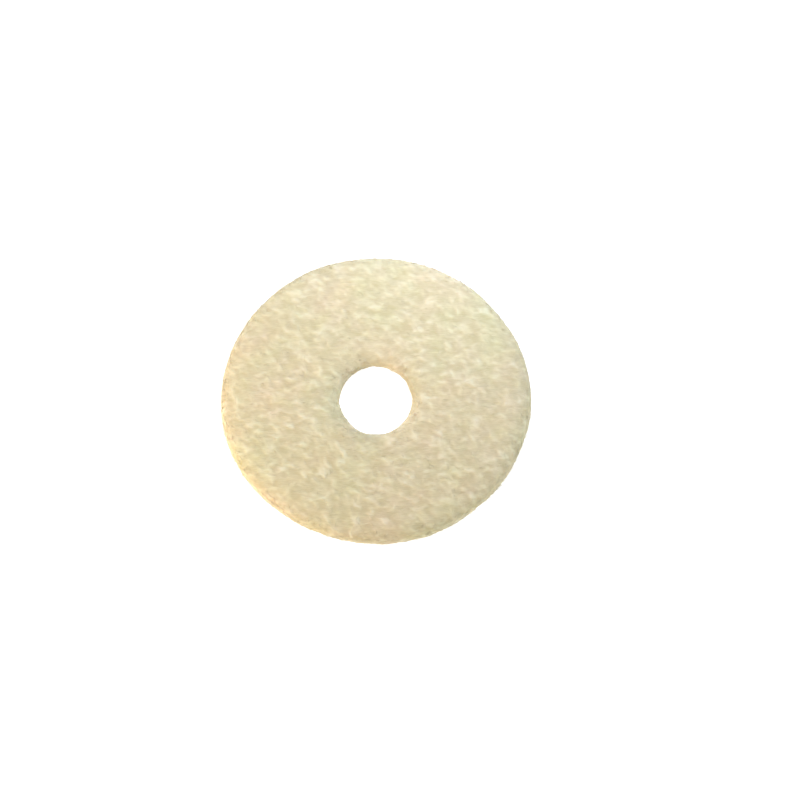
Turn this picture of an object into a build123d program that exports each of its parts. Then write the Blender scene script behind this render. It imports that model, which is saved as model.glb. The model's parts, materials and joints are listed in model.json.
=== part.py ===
from build123d import *
import os

# Felt polishing wheel: one washer punched from a sheet of pressed wool felt.
# Millimetres. The wheel lies on its back face: its axis is Z, its back face is at
# Z = 0 and its working face is at Z = THICKNESS.

# Overall sizes.
OUTER_DIAMETER = 50.0
BORE_DIAMETER = 12.0
THICKNESS = 3.0

# The punch drags the soft felt down at each edge, so every edge rolls over in a quarter
# ellipse. The roll is wider around the bore than around the rim, and as deep at both.
RIM_ROLL_WIDTH = 1.2
BORE_ROLL_WIDTH = 2.0
ROLL_DEPTH = 0.8

# Sizes that follow from those above.
OUTER_RADIUS = OUTER_DIAMETER / 2
BORE_RADIUS = BORE_DIAMETER / 2
RIM_ROLL_START = OUTER_RADIUS - RIM_ROLL_WIDTH
BORE_ROLL_END = BORE_RADIUS + BORE_ROLL_WIDTH
UPPER_ROLL_Z = THICKNESS - ROLL_DEPTH

# Directions in the half section, in degrees anticlockwise from the outward radius.
OUTWARD, UP, INWARD, DOWN = 0, 90, 180, 270
QUARTER_TURN = 90


def rolled_edge(centre_x, centre_z, roll_width, start):
    """Quarter ellipse of the half section, anticlockwise from the direction start."""
    return EllipticalCenterArc(
        (centre_x, centre_z),
        x_radius=roll_width,
        y_radius=ROLL_DEPTH,
        start_angle=start,
        arc_size=QUARTER_TURN,
    )


def half_section():
    """The felt cut along its axis, outlined anticlockwise from the back face."""
    with BuildSketch(Plane.XZ) as section:
        with BuildLine():
            Line((BORE_ROLL_END, 0), (RIM_ROLL_START, 0))
            rolled_edge(RIM_ROLL_START, ROLL_DEPTH, RIM_ROLL_WIDTH, start=DOWN)
            Line((OUTER_RADIUS, ROLL_DEPTH), (OUTER_RADIUS, UPPER_ROLL_Z))
            rolled_edge(RIM_ROLL_START, UPPER_ROLL_Z, RIM_ROLL_WIDTH, start=OUTWARD)
            Line((RIM_ROLL_START, THICKNESS), (BORE_ROLL_END, THICKNESS))
            rolled_edge(BORE_ROLL_END, UPPER_ROLL_Z, BORE_ROLL_WIDTH, start=UP)
            Line((BORE_RADIUS, UPPER_ROLL_Z), (BORE_RADIUS, ROLL_DEPTH))
            rolled_edge(BORE_ROLL_END, ROLL_DEPTH, BORE_ROLL_WIDTH, start=INWARD)
        make_face()
    return section.sketch


def felt_disc():
    """The whole wheel: one solid, turned about Z from its half section."""
    return revolve(half_section(), axis=Axis.Z)


os.makedirs("parts", exist_ok=True)
export_step(felt_disc(), "parts/felt_disc.step")
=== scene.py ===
"""Felt polishing wheel: the looks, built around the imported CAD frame.

The felt is one mass of matted wool, so its node is replaced by a body whose surface is
pressed fibre bundles, and by the loose fibres that lie on it and stand out of its edges.
The felt's lengths are in millimetres until its mesh is written. Sizes and positions come
from the frame.
"""
import json
import math

import bpy
import numpy as np
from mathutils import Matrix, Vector


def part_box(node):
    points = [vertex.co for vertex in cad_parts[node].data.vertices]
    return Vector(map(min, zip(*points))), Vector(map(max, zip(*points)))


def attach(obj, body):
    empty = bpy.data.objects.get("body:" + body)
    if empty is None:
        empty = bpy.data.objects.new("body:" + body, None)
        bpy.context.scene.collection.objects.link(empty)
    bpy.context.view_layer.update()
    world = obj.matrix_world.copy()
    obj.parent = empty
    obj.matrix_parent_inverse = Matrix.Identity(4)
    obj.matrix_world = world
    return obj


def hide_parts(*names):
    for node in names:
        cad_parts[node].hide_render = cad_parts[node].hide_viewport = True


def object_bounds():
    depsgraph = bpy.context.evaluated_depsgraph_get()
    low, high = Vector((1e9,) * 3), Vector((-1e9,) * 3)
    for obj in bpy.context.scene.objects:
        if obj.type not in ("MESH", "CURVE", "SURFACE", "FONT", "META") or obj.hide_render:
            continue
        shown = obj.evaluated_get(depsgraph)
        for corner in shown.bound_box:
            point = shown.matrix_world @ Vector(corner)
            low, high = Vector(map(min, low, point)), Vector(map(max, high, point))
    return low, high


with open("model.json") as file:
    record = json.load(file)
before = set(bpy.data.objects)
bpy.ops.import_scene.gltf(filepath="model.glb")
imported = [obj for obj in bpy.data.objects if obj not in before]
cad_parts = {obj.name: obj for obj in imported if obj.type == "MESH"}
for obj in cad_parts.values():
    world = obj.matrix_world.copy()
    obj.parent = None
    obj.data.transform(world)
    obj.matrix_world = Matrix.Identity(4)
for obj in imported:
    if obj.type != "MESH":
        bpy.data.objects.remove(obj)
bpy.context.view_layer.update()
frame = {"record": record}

MM = 0.001  # metres in a millimetre
NODE, BODY, SLOT = "felt_disc", "root", "felt"

# ---- sizes from the frame ----------------------------------------------------------------


def mount(name):
    """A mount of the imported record."""
    return next(m for m in frame["record"]["mounts"] if m["name"] == name)


LOW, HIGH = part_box(NODE)
OUTER_RADIUS = max(HIGH.x - LOW.x, HIGH.y - LOW.y) / 2 / MM
THICKNESS = (HIGH.z - LOW.z) / MM
BORE_RADIUS = mount("arbor_bore")["dims"]["r_mm"]
HALF = THICKNESS / 2

# ---- how the felt is shaped --------------------------------------------------------------

RIM_ROLL = 1.9  # how far in from the rim the faces start to roll over
BORE_ROLL = 2.3  # how far out from the bore they do
ROLL_POWER = 2.6  # 2 makes the roll an ellipse, and more makes it squarer
SHOULDER = 0.40  # how much each face sinks towards the cut edges, ahead of the roll
SHOULDER_REACH = 2.2  # how far in from the edges that is felt
BACK_GIVE = 0.3  # the back face sinks this share of that
EDGE_SHADE = 0.1  # painted shade: how much darker the rim and the bore are drawn, as a share of the bundles' height
BORE_OVAL = 0.022  # the soft bore is pulled longer along Y by this share, and shorter along X
BORE_GRIP = 0.06  # the felt springs back this much into the punched bore
RIM_WOBBLE, BORE_WOBBLE = 0.07, 0.05  # how far the cut edges stray from a true circle
WOBBLE_REACH = 7.0  # how far into the felt that straying dies away
WOBBLE_LEAN = 0.4  # the share of it that differs between the front and the back
FACE_WAVE = 0.05  # slow unevenness of the front face
RELIEF = 0.09  # height of the fibre bundles
FACE_LEVEL = 0.62  # the share of that height that is level with the smooth shape
VOXEL = 0.215  # spacing of the body's surface points
GRAIN_ANGLE = math.radians(-25)  # the way most bundles lie in the sheet, from +X
ROLL_STEPS, FACE_STEPS, TURN_STEPS = 25, 60, 360  # points along the section's parts and round it
MIDDLE_RADIUS = (BORE_RADIUS + OUTER_RADIUS) / 2  # parts the rim's half from the bore's half

# A surface point takes its bundles from the edges' map, a face's map or a blend of the two,
# by how far its normal points along the axis: 0 on a cut edge and 1 on a flat face.
EDGE_UNTIL, FACE_FROM = 0.35, 0.75
EDGE_SHADE_FROM = 0.15  # the rim's and the bore's painted shade starts to fade at this much, and is gone on a face
BACK_FROM = -0.5  # a point whose normal points down more than this belongs to the back face


def smoothstep(low, high, x):
    """0 where x is below low, 1 where it is above high, and a soft step between them."""
    t = np.clip((x - low) / (high - low), 0, 1)
    return t * t * (3 - 2 * t)


def angular_wave(rng, orders, fade):
    """A smooth random function of an angle, about 1 high, from these numbers of waves a turn."""
    amount = rng.normal(size=len(orders)) / np.array(orders, float) ** fade
    shift = rng.uniform(0, 2 * math.pi, len(orders))
    scale = 1 / np.sqrt((amount**2).sum() / 2)

    def wave(angle):
        return scale * sum(a * np.cos(n * angle + s) for a, n, s in zip(amount, orders, shift))

    return wave


rim_wave = angular_wave(np.random.default_rng(11), range(3, 30), 1.3)
bore_wave = angular_wave(np.random.default_rng(12), range(3, 12), 1.3)


class Field:
    """A square-celled random height map of matted fibre bundles, 0 in the gaps and 1 on top."""

    CELL = 0.06  # spacing of the map's points
    MATS = 3  # mats in each layer
    KNIT = 1.1  # how much the topmost mat hides the others
    LEVELLING = 0.75  # the share of the broad highs and lows that pressing evens out
    BROAD = 1.4  # what is averaged over about this far counts as broad
    TAILS = (1.5, 98.5)  # the percentiles that are called 0 and 1
    SPILL = 0.15  # the lowest gaps and highest tops go at most this far past 0 and 1
    GRAIN_DRIFT = 0.25  # radians that the grain turns to either side over the sheet
    CURVE = 0.4  # radians that a bundle usually turns from its middle to either end

    def __init__(self, seed, width, height, angle, spread):
        self.size = np.array([width, height], float)
        self.shape = np.round(self.size / self.CELL).astype(int)
        rng = np.random.default_rng(seed)
        area = width * height
        layers = [
            # share of the height, bundles per mm2, length, half width
            (0.62, 1.15, 3.0, 0.245),
            (0.38, 2.8, 2.0, 0.165),
        ]
        total = 0
        for share, density, length, half_width in layers:
            count = int(area * density / self.MATS)
            mats = [
                self.mat(rng, count, length, half_width, angle, spread) for _ in range(self.MATS)
            ]
            topmost = sum(np.exp(self.KNIT * mat) for mat in mats) / self.MATS
            total = total + share * np.log(topmost) / self.KNIT
        total = total - self.LEVELLING * self.smoothed(total, self.BROAD)
        low, high = np.percentile(total, self.TAILS)
        self.values = np.clip((total - low) / (high - low), -self.SPILL, 1 + self.SPILL)

    def mat(self, rng, count, length, half_width, angle, spread):
        """One layer of curved strokes, blurred to their width."""
        steps = int(length / self.CELL)
        x = rng.uniform(0, self.size[0], count)
        y = rng.uniform(0, self.size[1], count)
        # Swirls about 20 mm long, in which the grain turns to and fro.
        slow = np.sin(x * 0.31 + 1.7 * np.sin(y * 0.23)) * np.cos(y * 0.27 + 1.3)
        turn = angle + self.GRAIN_DRIFT * slow + rng.normal(0, spread, count)
        bend = rng.normal(0, self.CURVE, count) / length
        reach = rng.uniform(0.5, 1.0, count)
        strength = rng.uniform(0.5, 1.0, count)
        grid = np.zeros(self.shape[0] * self.shape[1])
        for k in range(steps):
            t = (k + 0.5) / steps
            heading = turn + bend * (t - 0.5) * length * 2
            x = x + np.cos(heading) * self.CELL * reach
            y = y + np.sin(heading) * self.CELL * reach
            i = np.floor(x / self.CELL).astype(int) % self.shape[0]
            j = np.floor(y / self.CELL).astype(int) % self.shape[1]
            np.add.at(grid, i * self.shape[1] + j, strength * math.sin(math.pi * t) * reach)
        soft = self.smoothed(grid.reshape(self.shape), half_width)
        return (soft - soft.mean()) / soft.std()

    def smoothed(self, grid, sigma):
        """grid blurred by a Gaussian of this many millimetres."""
        fx = np.fft.fftfreq(grid.shape[0], self.CELL)[:, None]
        fy = np.fft.rfftfreq(grid.shape[1], self.CELL)[None, :]
        soft = np.exp(-2 * (math.pi * sigma) ** 2 * (fx**2 + fy**2))
        return np.fft.irfft2(np.fft.rfft2(grid) * soft, s=grid.shape)

    def at(self, x, y):
        """The map's value at these places, blended between its cells. It repeats past its edges."""
        u, v = x / self.CELL, y / self.CELL
        i, j = np.floor(u).astype(int), np.floor(v).astype(int)
        du, dv = u - i, v - j
        nx, ny = self.shape
        i, j, i1, j1 = i % nx, j % ny, (i + 1) % nx, (j + 1) % ny
        cell = self.values
        near = cell[i, j] * (1 - du) + cell[i1, j] * du
        far = cell[i, j1] * (1 - du) + cell[i1, j1] * du
        return near * (1 - dv) + far * dv


SPAN = 2 * OUTER_RADIUS + 4  # a square a little wider than the wheel
EDGE_SPAN = 2 * math.pi * OUTER_RADIUS  # once round the rim
EDGE_HEIGHT = 12.0  # room for the rim and the bore, one above the other
RIM_ROW, BORE_ROW = 1.0, 7.0  # where on the edge map the back of the rim and of the bore lie
BORE_SHARE = 0.25  # the bore's way round takes about this share of the rim's
front_field = Field(21, SPAN, SPAN, GRAIN_ANGLE, spread=0.5)
back_field = Field(22, SPAN, SPAN, GRAIN_ANGLE, spread=0.6)
edge_field = Field(23, EDGE_SPAN, EDGE_HEIGHT, angle=0.0, spread=0.35)


def relief(points, normals):
    """Height of the bundles from 0 to 1 at these places of the felt's surface."""
    x, y, z = points.T
    angle = np.arctan2(y, x) % (2 * math.pi)
    front = front_field.at(x + SPAN / 2, y + SPAN / 2)
    back = back_field.at(x + SPAN / 2, y + SPAN / 2)
    outer = np.hypot(x, y) > MIDDLE_RADIUS
    around = angle / (2 * math.pi) * EDGE_SPAN
    along = np.where(outer, around, around * BORE_SHARE)
    edge = edge_field.at(along, np.where(outer, z + RIM_ROW, z + BORE_ROW))
    up = smoothstep(EDGE_UNTIL, FACE_FROM, normals[:, 2])
    down = smoothstep(EDGE_UNTIL, FACE_FROM, -normals[:, 2])
    return up * front + down * back + (1 - up - down) * edge


def raised(height, normals):
    """How far bundles of this height stand out of the smooth shape, or sink in when below 0.

    On the back face only the tallest bundles reach the flat that it lies on.
    """
    return RELIEF * (height - np.where(normals[:, 2] < BACK_FROM, 1.0, FACE_LEVEL))


def profile():
    """The felt's cut section as a closed loop of (radius, height), from the foot of the rim."""
    turn = np.linspace(-math.pi / 2, math.pi / 2, ROLL_STEPS)
    out = np.cos(turn).clip(0) ** (2 / ROLL_POWER)
    rim_x = OUTER_RADIUS - RIM_ROLL + RIM_ROLL * out
    bore_x = BORE_RADIUS + BORE_ROLL - BORE_ROLL * out
    z = HALF + HALF * np.sign(turn) * np.abs(np.sin(turn)) ** (2 / ROLL_POWER)
    across = np.linspace(OUTER_RADIUS - RIM_ROLL, BORE_RADIUS + BORE_ROLL, FACE_STEPS)
    top = np.stack([across, np.full(FACE_STEPS, THICKNESS)], 1)
    bottom = np.stack([across[::-1], np.zeros(FACE_STEPS)], 1)
    rim = np.stack([rim_x, z], 1)
    bore = np.stack([bore_x[::-1], z[::-1]], 1)
    return np.concatenate([rim, top[1:-1], bore, bottom[1:-1]])


def sheet_wave(x, y):
    """The slow unevenness of the pressed sheet, from -1 to 1, about 15 mm from crest to crest."""
    across = np.sin(0.42 * x + 0.9 + 0.8 * np.sin(0.23 * y))
    return across * np.cos(0.37 * y - 0.4 + 0.5 * np.sin(0.3 * x))


def warped(points):
    """The true shape's points moved to the soft one: oval bore, straying edges, uneven faces."""
    x, y, z = points.T
    angle, radius = np.arctan2(y, x), np.hypot(x, y)
    near_rim = smoothstep(OUTER_RADIUS - WOBBLE_REACH, OUTER_RADIUS, radius)
    near_bore = smoothstep(BORE_RADIUS + WOBBLE_REACH, BORE_RADIUS, radius)
    level = (z - HALF) / HALF
    rim = RIM_WOBBLE * (rim_wave(angle) + WOBBLE_LEAN * level * rim_wave(angle + 2.1))
    bore = BORE_WOBBLE * (bore_wave(angle) + WOBBLE_LEAN * level * bore_wave(angle + 1.3))
    bore = bore - BORE_OVAL * BORE_RADIUS * np.cos(2 * angle) - BORE_GRIP
    moved = radius + near_rim * rim + near_bore * bore
    from_edge = np.maximum(np.minimum(OUTER_RADIUS - radius, radius - BORE_RADIUS), 0)
    sink = SHOULDER * np.exp(-((from_edge / SHOULDER_REACH) ** 2))
    # The punch comes down on the front face, so the back face gives way less.
    give = np.where(level > 0, level, BACK_GIVE * level)
    lifted = z - sink * give + FACE_WAVE * sheet_wave(x, y) * (z / THICKNESS)
    return np.stack([moved * np.cos(angle), moved * np.sin(angle), lifted], 1)


# ---- meshes ------------------------------------------------------------------------------


def mesh_of(name, points_mm, faces, smooth=True):
    """A new mesh object from arrays: places in millimetres, and faces of one size."""
    sides = faces.shape[1]
    me = bpy.data.meshes.new(name)
    me.vertices.add(len(points_mm))
    me.vertices.foreach_set("co", (points_mm * MM).astype(np.float32).ravel())
    me.loops.add(faces.size)
    me.loops.foreach_set("vertex_index", faces.astype(np.int32).ravel())
    me.polygons.add(len(faces))
    me.polygons.foreach_set("loop_start", np.arange(0, faces.size, sides, dtype=np.int32))
    me.polygons.foreach_set("loop_total", np.full(len(faces), sides, np.int32))
    me.update(calc_edges=True)
    me.polygons.foreach_set("use_smooth", np.full(len(faces), smooth))
    ob = bpy.data.objects.new(name, me)
    bpy.context.scene.collection.objects.link(ob)
    return ob


def revolved(loop, steps):
    """Points and four-sided faces of a closed loop turned about Z."""
    angle = np.linspace(0, 2 * math.pi, steps, endpoint=False)
    n = len(loop)
    x = np.outer(np.cos(angle), loop[:, 0])
    y = np.outer(np.sin(angle), loop[:, 0])
    z = np.tile(loop[:, 1], (steps, 1))
    i, j = np.meshgrid(np.arange(steps), np.arange(n), indexing="ij")
    i1, j1 = (i + 1) % steps, (j + 1) % n
    faces = np.stack([i * n + j, i1 * n + j, i1 * n + j1, i * n + j1], -1)
    return np.stack([x, y, z], -1).reshape(-1, 3), faces.reshape(-1, 4)


def read(items, name, width):
    """One property of every vertex as an array, width numbers each."""
    out = np.empty(len(items) * width, np.float32)
    items.foreach_get(name, out)
    return out.reshape(-1, width).astype(float)


def set_tone(me, values):
    """Keeps each vertex's place between the gaps, drawn dark partly as painted shade, and the pale
    tops.
    """
    tone = me.attributes.new("fibre_height", "FLOAT", "POINT")
    tone.data.foreach_set("value", values.astype(np.float32))


def felt_body():
    """The pressed felt: the section turned, remeshed evenly, softened and given its bundles."""
    points, faces = revolved(profile(), TURN_STEPS)
    ob = mesh_of("felt_body", points / MM, faces)  # one unit a millimetre for the remesh
    remesh = ob.modifiers.new("even", "REMESH")
    remesh.mode = "VOXEL"
    remesh.voxel_size = VOXEL
    graph = bpy.context.evaluated_depsgraph_get()
    even = bpy.data.meshes.new_from_object(ob.evaluated_get(graph))
    ob.modifiers.clear()
    old, ob.data = ob.data, even
    bpy.data.meshes.remove(old)
    even.name = "felt_body"
    place = read(even.vertices, "co", 3)
    normal = read(even.vertices, "normal", 3)
    height = relief(place, normal)
    place = warped(place)
    place = place + normal * raised(height, normal)[:, None]
    even.vertices.foreach_set("co", (place * MM).astype(np.float32).ravel())
    even.polygons.foreach_set("use_smooth", np.ones(len(even.polygons), bool))
    # The rim and the bore are drawn darker: painted shade on the cut edges.
    edge_shade = EDGE_SHADE * (1 - smoothstep(EDGE_SHADE_FROM, FACE_FROM, np.abs(normal[:, 2])))
    set_tone(even, height - edge_shade)
    even.update()
    return ob


# ---- loose fibres --------------------------------------------------------------------------

FIBRE_POINTS = 8  # points along one fibre, its two tips among them
LOWEST = 0.02  # no fibre's middle line goes below this height, as the wheel lies on its back
TUCK = 0.02  # how deep in the felt the tips of a lying fibre are
ROOT = 0.04  # how deep the foot of a standing one is
BORE_CLEAR = 0.2  # the fibres of a face start at least this far from the bore
EDGE_CLEAR = 0.05  # and no point of one comes nearer than this to the rim or the bore
ROLL_END = 0.995  # the last bit of each roll is left out, as its slope has no limit
FURTHEST_START = 0.97  # sine of the lean from mid-thickness where fibres of an edge may start
FURTHEST_LEAN = 1.5  # radians, which is just short of the face
TAPER = 0.45  # the thickness a fibre thins towards near its tips, as a share of its middle


def roll_height(radius):
    """Height of the front face above mid-thickness at this radius, and its slope outwards."""
    into_rim = np.clip((radius - (OUTER_RADIUS - RIM_ROLL)) / RIM_ROLL, 0, ROLL_END)
    into_bore = np.clip(((BORE_RADIUS + BORE_ROLL) - radius) / BORE_ROLL, 0, ROLL_END)
    into = np.maximum(into_rim, into_bore)
    rise = (1 - into**ROLL_POWER) ** (1 / ROLL_POWER)
    steep = (into / rise) ** (ROLL_POWER - 1)
    slope = HALF * steep / np.where(into_rim > into_bore, -RIM_ROLL, BORE_ROLL)
    return HALF * rise, slope


def face_fibres(rng, count, side, length, spread):
    """Places and normals along fibres that lie on the front (side 1) or back (side -1) face."""
    radius = np.sqrt(rng.uniform((BORE_RADIUS + BORE_CLEAR) ** 2, OUTER_RADIUS**2, count))
    turn = rng.uniform(0, 2 * math.pi, count)
    x, y = radius * np.cos(turn), radius * np.sin(turn)
    x, y = wander(rng, x, y, GRAIN_ANGLE + rng.normal(0, spread, count), length)
    radius = np.hypot(x, y)
    inside = (radius > BORE_RADIUS + EDGE_CLEAR) & (radius < OUTER_RADIUS - EDGE_CLEAR)
    whole = inside.all(1)
    x, y, radius = x[whole], y[whole], radius[whole]
    height, slope = roll_height(radius)
    places = np.stack([x, y, HALF + side * height], -1)
    normals = np.stack([-slope * x / radius, -slope * y / radius, np.full(x.shape, float(side))], -1)
    return places, normals / np.linalg.norm(normals, axis=-1, keepdims=True)


def edge_fibres(rng, count, outer, length, spread):
    """Places and normals along fibres that lie on the rim's edge, or on the bore's."""
    if outer:
        middle, roll = OUTER_RADIUS - RIM_ROLL, RIM_ROLL
    else:
        middle, roll = BORE_RADIUS + BORE_ROLL, -BORE_ROLL
    reach = 0.5 * (abs(roll) + HALF)  # about how far a turn of one radian goes along the edge
    lean = np.arcsin(rng.uniform(-FURTHEST_START, FURTHEST_START, count))
    turn = rng.uniform(0, 2 * math.pi, count)
    at_radius = OUTER_RADIUS if outer else BORE_RADIUS
    along, up = wander(rng, turn * at_radius, lean * reach, rng.normal(0, spread, count), length)
    turn, lean = along / at_radius, np.clip(up / reach, -FURTHEST_LEAN, FURTHEST_LEAN)
    radius = middle + roll * np.cos(lean) ** (2 / ROLL_POWER)
    up, way = np.abs(np.sin(lean)), np.sign(lean)
    height = HALF + HALF * way * up ** (2 / ROLL_POWER)
    places = np.stack([radius * np.cos(turn), radius * np.sin(turn), height], -1)
    out = np.cos(lean) ** (2 - 2 / ROLL_POWER) * HALF * np.sign(roll)
    rise = way * up ** (2 - 2 / ROLL_POWER) * abs(roll)
    normals = np.stack([out * np.cos(turn), out * np.sin(turn), rise], -1)
    return places, normals / np.linalg.norm(normals, axis=-1, keepdims=True)


def wander(rng, x, y, heading, length):
    """Curly paths of FIBRE_POINTS points from these starts, each its own length."""
    count = len(x)
    reach = length * rng.uniform(0.45, 1.25, count) / (FIBRE_POINTS - 1)  # one step
    bend = rng.normal(0, 0.16, count)  # radians a step, always the same way
    curl = rng.uniform(0.1, 0.45, count)  # radians to and fro
    phase = rng.uniform(0, 2 * math.pi, count)
    xs, ys = [x], [y]
    for k in range(FIBRE_POINTS - 1):
        way = heading + bend * k + curl * np.sin(phase + 1.9 * k)
        xs.append(xs[-1] + reach * np.cos(way))
        ys.append(ys[-1] + reach * np.sin(way))
    return np.stack(xs, 1), np.stack(ys, 1)


def on_felt(places, normals, lift):
    """Those places moved onto the finished surface, and out from it by lift."""
    flat, out = places.reshape(-1, 3), normals.reshape(-1, 3)
    rise = raised(relief(flat, out), out) + lift.ravel()
    return (warped(flat) + out * rise[:, None]).reshape(places.shape)


def tubes(name, lines, normals, radius, tone):
    """Closed three-sided tubes, tapered to both tips, one along each of these lines."""
    count, steps = lines.shape[:2]
    ahead = np.gradient(lines, axis=1)
    ahead /= np.linalg.norm(ahead, axis=-1, keepdims=True)
    beside = np.cross(ahead, normals)
    beside /= np.linalg.norm(beside, axis=-1, keepdims=True)
    above = np.cross(beside, ahead)
    t = np.linspace(0, 1, steps)[1:-1]
    thick = radius[:, None] * (TAPER + (1 - TAPER) * np.sin(math.pi * t))[None, :]
    corner = np.array([90, 210, 330]) * math.pi / 180
    spread = beside[:, 1:-1, None] * np.cos(corner)[:, None]
    spread = spread + above[:, 1:-1, None] * np.sin(corner)[:, None]
    rings = lines[:, 1:-1, None] + spread * thick[..., None, None]
    inner = steps - 2
    points = np.concatenate(
        [rings.reshape(count, inner * 3, 3), lines[:, :1], lines[:, -1:]], axis=1
    )
    ring, side = np.meshgrid(np.arange(inner - 1), np.arange(3), indexing="ij")
    here, beyond, after = ring * 3, (ring + 1) * 3, (side + 1) % 3
    near, near_after, far, far_after = here + side, here + after, beyond + side, beyond + after
    sides = np.stack([near, near_after, far_after, near, far_after, far], -1).reshape(-1, 3)
    start, end, last = inner * 3, inner * 3 + 1, (inner - 1) * 3
    side = np.arange(3)
    after = (side + 1) % 3
    caps = np.concatenate(
        [
            np.stack([np.full(3, start), after, side], -1),
            np.stack([np.full(3, end), last + side, last + after], -1),
        ]
    )
    one = np.concatenate([sides, caps])
    per = inner * 3 + 2
    faces = one[None] + (np.arange(count) * per)[:, None, None]
    ob = mesh_of(name, points.reshape(-1, 3), faces.reshape(-1, 3))
    set_tone(ob.data, np.repeat(tone, per))
    return ob


def fibres(name, seed, radius, tones, kinds):
    """One piece of loose fibres. Each kind is a function that lays them, and how they lift."""
    rng = np.random.default_rng(seed)
    lines, outs = [], []
    for lay, lift in kinds:
        places, normals = lay(rng)
        lines.append(on_felt(places, normals, lift(rng, len(places))))
        outs.append(normals)
    lines, outs = np.concatenate(lines), np.concatenate(outs)
    lines[..., 2] = np.maximum(lines[..., 2], LOWEST)
    thick = radius * rng.uniform(0.6, 1.2, len(lines))
    return tubes(name, lines, outs, thick, rng.uniform(*tones, len(lines)))


def arched(height):
    """Both tips tucked in, and the middle up to height above the felt."""
    t = np.linspace(0, 1, FIBRE_POINTS)

    def lift(rng, count):
        top = rng.uniform(0.0, 1.0, count) ** 2 * height
        return top[:, None] * np.sin(math.pi * t) - TUCK

    return lift


def standing(height):
    """One tip in the felt, and the other free up to height above it."""
    t = np.linspace(0, 1, FIBRE_POINTS)

    def lift(rng, count):
        top = rng.uniform(0.15, 1.0, count) ** 1.5 * height
        return top[:, None] * t**1.4 - ROOT * (1 - t)

    return lift


def on_face(count, side, length, spread):
    """Lays this many fibres on the front (side 1) or back (side -1) face."""
    return lambda rng: face_fibres(rng, count, side, length, spread)


def on_edge(count, outer, length, spread):
    """Lays this many fibres on the rim, or in the bore."""
    return lambda rng: edge_fibres(rng, count, outer, length, spread)


def all_fibres():
    """The loose fibres of each face and of each cut edge."""
    return [
        fibres(
            "front_face_fibres",
            seed=31,
            radius=0.022,
            tones=(0.15, 0.85),
            kinds=[
                (on_face(4200, side=1, length=1.9, spread=0.55), arched(0.03)),
                (on_face(350, side=1, length=1.0, spread=1.2), standing(0.22)),
            ],
        ),
        fibres(
            "back_face_fibres",
            seed=32,
            radius=0.036,
            tones=(0.15, 0.85),
            kinds=[(on_face(2600, side=-1, length=1.9, spread=0.7), arched(0.05))],
        ),
        fibres(
            "rim_fuzz",
            seed=33,
            radius=0.026,
            # Toned a little darker than the faces' fibres: painted shade on the rim, over each fibre's
            # own random tone.
            tones=(0.05, 0.75),
            kinds=[
                (on_edge(1800, outer=True, length=1.2, spread=0.6), arched(0.10)),
                (on_edge(2600, outer=True, length=0.8, spread=1.2), standing(0.48)),
            ],
        ),
        fibres(
            "bore_fuzz",
            seed=34,
            radius=0.026,
            # Toned a little darker than the faces' fibres: painted shade in the bore, over each
            # fibre's own random tone.
            tones=(0.1, 0.75),
            kinds=[
                (on_edge(700, outer=False, length=0.9, spread=0.6), arched(0.08)),
                (on_edge(420, outer=False, length=0.6, spread=1.2), standing(0.30)),
            ],
        ),
    ]


# ---- materials ---------------------------------------------------------------------------


class Nodes:
    """Short calls for building one material's node tree."""

    def __init__(self, name):
        self.material = bpy.data.materials.new(name)
        self.material.use_nodes = True
        self.tree = self.material.node_tree
        self.tree.nodes.clear()

    def add(self, kind, inputs=(), **settings):
        """A new node with these settings, and with its inputs filled by name or number."""
        node = self.tree.nodes.new(kind)
        for key, value in settings.items():
            setattr(node, key, value)
        for key, value in dict(inputs).items():
            self.put(node.inputs[key], value)
        return node

    def put(self, socket, value):
        """Links the socket to another node's output, or sets its own value."""
        if isinstance(value, bpy.types.NodeSocket):
            self.tree.links.new(value, socket)
        else:
            socket.default_value = value

    def math(self, operation, *values):
        """One calculation on numbers or outputs."""
        node = self.add("ShaderNodeMath", enumerate(values), operation=operation)
        return node.outputs[0]

    def mix(self, factor, a, b):
        """Colour a turning into colour b."""
        node = self.add("ShaderNodeMix", data_type="RGBA")
        self.put(node.inputs["Factor"], factor)
        self.put(node.inputs[6], a)
        self.put(node.inputs[7], b)
        return node.outputs[2]

    def times(self, a, b):
        """Two colours multiplied."""
        node = self.add("ShaderNodeMix", data_type="RGBA", blend_type="MULTIPLY")
        self.put(node.inputs["Factor"], 1.0)
        self.put(node.inputs[6], a)
        self.put(node.inputs[7], b)
        return node.outputs[2]

    def noise(self, where, scale, detail=2.0, roughness=0.5, distortion=0.0):
        """Random values about 0.5, with scale waves to each unit of these coordinates."""
        node = self.add(
            "ShaderNodeTexNoise",
            {
                "Vector": where,
                "Scale": scale,
                "Detail": detail,
                "Roughness": roughness,
                "Distortion": distortion,
            },
        )
        return node.outputs["Fac"]

    def ramp(self, factor, low, high):
        """factor stretched so that low becomes 0 and high becomes 1, clamped."""
        node = self.add("ShaderNodeMapRange", {"Value": factor, "From Min": low, "From Max": high})
        return node.outputs[0]

    def turned(self, where, angle, scale):
        """Coordinates turned about Z and scaled, in cells a metre."""
        node = self.add(
            "ShaderNodeMapping",
            {"Vector": where, "Rotation": (0.0, 0.0, angle), "Scale": scale},
        )
        return node.outputs[0]

    def finish(self, shader):
        """The material, with this shader on its surface."""
        out = self.add("ShaderNodeOutputMaterial")
        self.tree.links.new(shader.outputs[0], out.inputs["Surface"])
        return self.material


def strands(nodes, where, angle, length, width, seed):
    """A streaky 0 to 1 pattern of fine fibres lying at this angle in the sheet."""
    turned = nodes.turned(where, -angle, (1 / (length * MM), 1 / (width * MM), 1 / (width * MM)))
    shifted = nodes.add(
        "ShaderNodeVectorMath",
        {0: turned, 1: (seed * 7.3, seed * 3.1, seed * 5.7)},
        operation="ADD",
    )
    return nodes.noise(shifted.outputs[0], 1.0, detail=1.5, roughness=0.55, distortion=0.35)


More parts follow.
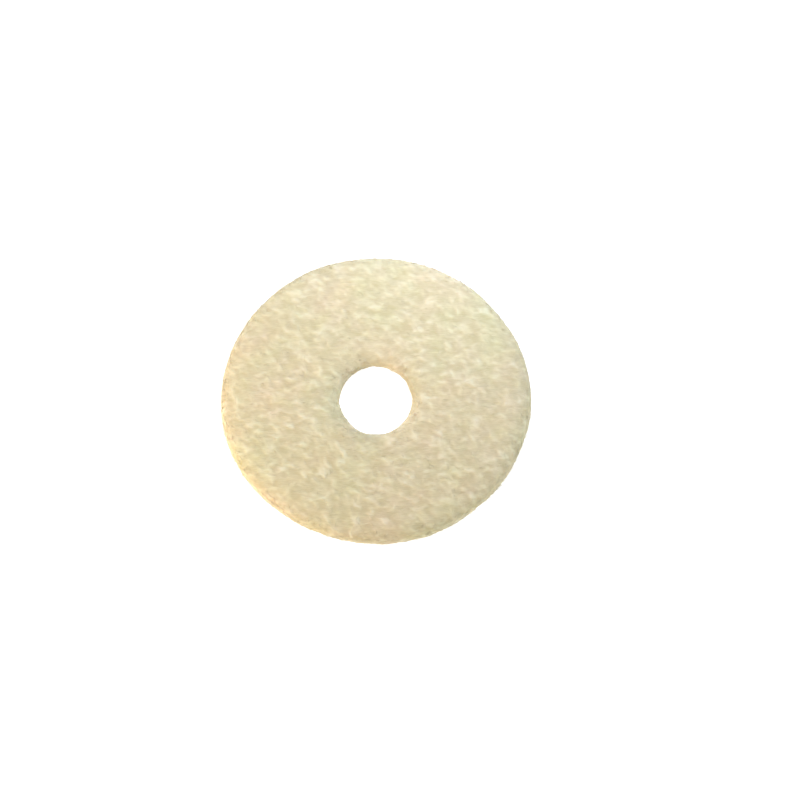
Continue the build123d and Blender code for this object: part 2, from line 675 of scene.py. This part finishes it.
def felt_material():
    """Undyed pressed wool: cream bundles, gaps darkened partly by painted shade, and fine fibres."""
    nodes = Nodes("pressed_wool_felt")
    where = nodes.add("ShaderNodeTexCoord").outputs["Object"]
    height = nodes.add("ShaderNodeAttribute", attribute_name="fibre_height").outputs["Fac"]
    bend = nodes.add("ShaderNodeTexNoise", {"Vector": where, "Scale": 260.0, "Detail": 1.0})
    # The fibres' pattern is read from places pushed aside by about a millimetre, so it bends.
    bent = nodes.add(
        "ShaderNodeVectorMath",
        {0: bend.outputs["Color"], 1: (0.0016, 0.0016, 0.0005), 2: where},
        operation="MULTIPLY_ADD",
    ).outputs[0]
    lying = strands(nodes, bent, GRAIN_ANGLE, 1.6, 0.175, 1)
    crossing = strands(nodes, bent, GRAIN_ANGLE + 0.75, 1.4, 0.155, 2)
    counter = strands(nodes, bent, GRAIN_ANGLE - 0.70, 1.4, 0.155, 3)
    fine = nodes.math("MAXIMUM", nodes.math("MAXIMUM", lying, crossing), counter)
    fine = nodes.ramp(fine, 0.45, 0.78)

    # Bundles make most of the light and dark, partly the wool's own tone and partly painted shade in
    # the low gaps between them, and the fine fibres the rest.
    tufts = nodes.math("ADD", nodes.math("MULTIPLY", height, 0.75), nodes.math("MULTIPLY", fine, 0.35))
    tufts = nodes.ramp(tufts, 0.1, 0.95)
    # The gaps' colour is darker partly as the wool's own tone and partly as painted shade in the
    # recesses.
    gap_with_shade = (0.625, 0.524, 0.326, 1.0)
    wool = (0.742, 0.642, 0.428, 1.0)
    pale = (0.803, 0.716, 0.510, 1.0)
    colour = nodes.mix(nodes.ramp(tufts, 0.0, 0.55), gap_with_shade, wool)
    colour = nodes.mix(nodes.ramp(tufts, 0.55, 1.0), colour, pale)
    # Undyed wool is never quite one cream: it drifts pinker and greener by patches.
    drift = nodes.ramp(nodes.noise(where, 150.0, detail=3.0), 0.3, 0.7)
    tint = nodes.mix(drift, (0.971, 1.0, 0.976, 1.0), (1.029, 0.983, 1.014, 1.0))
    colour = nodes.times(colour, tint)
    yellowing = nodes.ramp(nodes.noise(where, 330.0, detail=2.0, distortion=0.6), 0.3, 0.7)
    colour = nodes.times(colour, nodes.mix(yellowing, (1.0, 1.0, 1.035, 1.0), (1.0, 1.0, 0.965, 1.0)))

    shader = nodes.add(
        "ShaderNodeBsdfPrincipled",
        {
            "Base Color": colour,
            "Roughness": nodes.math("MULTIPLY_ADD", fine, -0.12, 0.97),
            "Specular IOR Level": 0.25,
            "Subsurface Weight": 0.35,
            "Subsurface Radius": (1.0, 0.75, 0.5),
            "Subsurface Scale": 0.0005,
            "Sheen Weight": 0.10,
            "Sheen Roughness": 0.55,
            "Sheen Tint": (1.0, 0.96, 0.88, 1.0),
        },
    )
    bump = nodes.add("ShaderNodeBump", {"Height": fine, "Strength": 0.35, "Distance": 0.00006})
    nodes.tree.links.new(bump.outputs[0], shader.inputs["Normal"])
    return nodes.finish(shader)


# ---- floor, light and camera ---------------------------------------------------------------

LENS_AWAY = 3.0  # metres from the wheel to the camera
TILT = math.radians(66.5)  # how far above the level the camera looks down from
FRAME_WIDTH = 0.1295  # metres across the picture at the wheel
ASIDE = 0.00398  # the wheel lies this far left of the picture's middle
SENSOR = 36.0  # millimetres
FLOOR_GLOW_SEEN, FLOOR_GLOW = 0.95, 0.45  # what the camera sees, and what lights the felt
WORLD_GLOW_SEEN, WORLD_GLOW = 1.0, 0.10  # the same for the world all round
FLOOR_GAP = 0.03 * MM  # the floor is this far below the lowest fibre
FLOOR_HALF = 3.0  # metres from the floor's middle to its sides


def make_floor(lowest):
    """A pale floor just under the wheel: white to the camera, and dimmer to the felt."""
    half = FLOOR_HALF / MM
    points = np.array([[-half, -half, 0], [half, -half, 0], [half, half, 0], [-half, half, 0]])
    floor = mesh_of("floor", points, np.array([[0, 1, 2, 3]]), smooth=False)
    floor.location.z = lowest - FLOOR_GAP
    nodes = Nodes("pale_floor")
    seen = nodes.add("ShaderNodeLightPath").outputs["Is Camera Ray"]
    glow = nodes.math("MULTIPLY_ADD", seen, FLOOR_GLOW_SEEN - FLOOR_GLOW, FLOOR_GLOW)
    shader = nodes.add(
        "ShaderNodeBsdfPrincipled",
        {
            "Base Color": (0.5, 0.5, 0.5, 1.0),
            "Roughness": 0.9,
            "Specular IOR Level": 0.1,
            "Emission Color": (1.0, 1.0, 1.0, 1.0),
            "Emission Strength": glow,
        },
    )
    floor.data.materials.append(nodes.finish(shader))


def make_world():
    """Plain white to the camera, and a dim white all round for everything else."""
    world = bpy.data.worlds.new("studio")
    world.use_nodes = True
    tree = world.node_tree
    tree.nodes.clear()
    ray = tree.nodes.new("ShaderNodeLightPath")
    mix = tree.nodes.new("ShaderNodeMixShader")
    tree.links.new(ray.outputs["Is Camera Ray"], mix.inputs["Fac"])
    for slot, glow in ((1, WORLD_GLOW), (2, WORLD_GLOW_SEEN)):
        white = tree.nodes.new("ShaderNodeBackground")
        white.inputs["Color"].default_value = (1.0, 1.0, 1.0, 1.0)
        white.inputs["Strength"].default_value = glow
        tree.links.new(white.outputs[0], mix.inputs[slot])
    out = tree.nodes.new("ShaderNodeOutputWorld")
    tree.links.new(mix.outputs[0], out.inputs["Surface"])
    bpy.context.scene.world = world


def area_light(name, bearing, rise, distance, size, power, colour):
    """A square soft light that faces the wheel's middle.

    bearing is in degrees from +X towards +Y, rise in degrees above the level, distance and
    size in millimetres and power in watts.
    """
    lamp = bpy.data.lights.new(name, "AREA")
    lamp.size = size * MM
    lamp.energy = power
    lamp.color = colour
    ob = bpy.data.objects.new(name, lamp)
    bpy.context.scene.collection.objects.link(ob)
    turn, lift = math.radians(bearing), math.radians(rise)
    away = Vector((math.cos(lift) * math.cos(turn), math.cos(lift) * math.sin(turn), math.sin(lift)))
    ob.location = Vector((0, 0, HALF * MM)) + away * distance * MM
    ob.rotation_euler = (-away).to_track_quat("-Z", "Y").to_euler()


def make_camera():
    """A long lens, straight on to the wheel's front and high above it."""
    camera = bpy.data.cameras.new("camera")
    camera.sensor_width = SENSOR
    camera.lens = SENSOR * LENS_AWAY / FRAME_WIDTH
    camera.clip_start, camera.clip_end = 0.01, 20.0
    ob = bpy.data.objects.new("camera", camera)
    bpy.context.scene.collection.objects.link(ob)
    aim = Vector((ASIDE, 0, HALF * MM))
    away = Vector((0, -math.cos(TILT), math.sin(TILT)))
    ob.location = aim + away * LENS_AWAY
    ob.rotation_euler = (-away).to_track_quat("-Z", "Y").to_euler()
    bpy.context.scene.camera = ob


make_camera()
felt = felt_material()
body = felt_body()
for piece in [body, *all_fibres()]:
    piece.data.materials.clear()
    piece.data.materials.append(felt)
    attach(piece, BODY)
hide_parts(NODE)

make_world()
area_light("far_light", 70, 42, 92, 64, 0.105, (0.785, 0.89, 1.0))
area_light("warm_light", 220, 17, 110, 60, 0.077, (1.0, 0.87, 0.65))
area_light("left_light", 184, 20, 115, 65, 0.080, (1.0, 0.91, 0.80))
area_light("right_light", 314, 14, 112, 52, 0.060, (0.90, 1.0, 0.98))
bpy.context.scene.view_settings.view_transform = "Standard"

VISUAL_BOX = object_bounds()
make_floor(VISUAL_BOX[0][2])
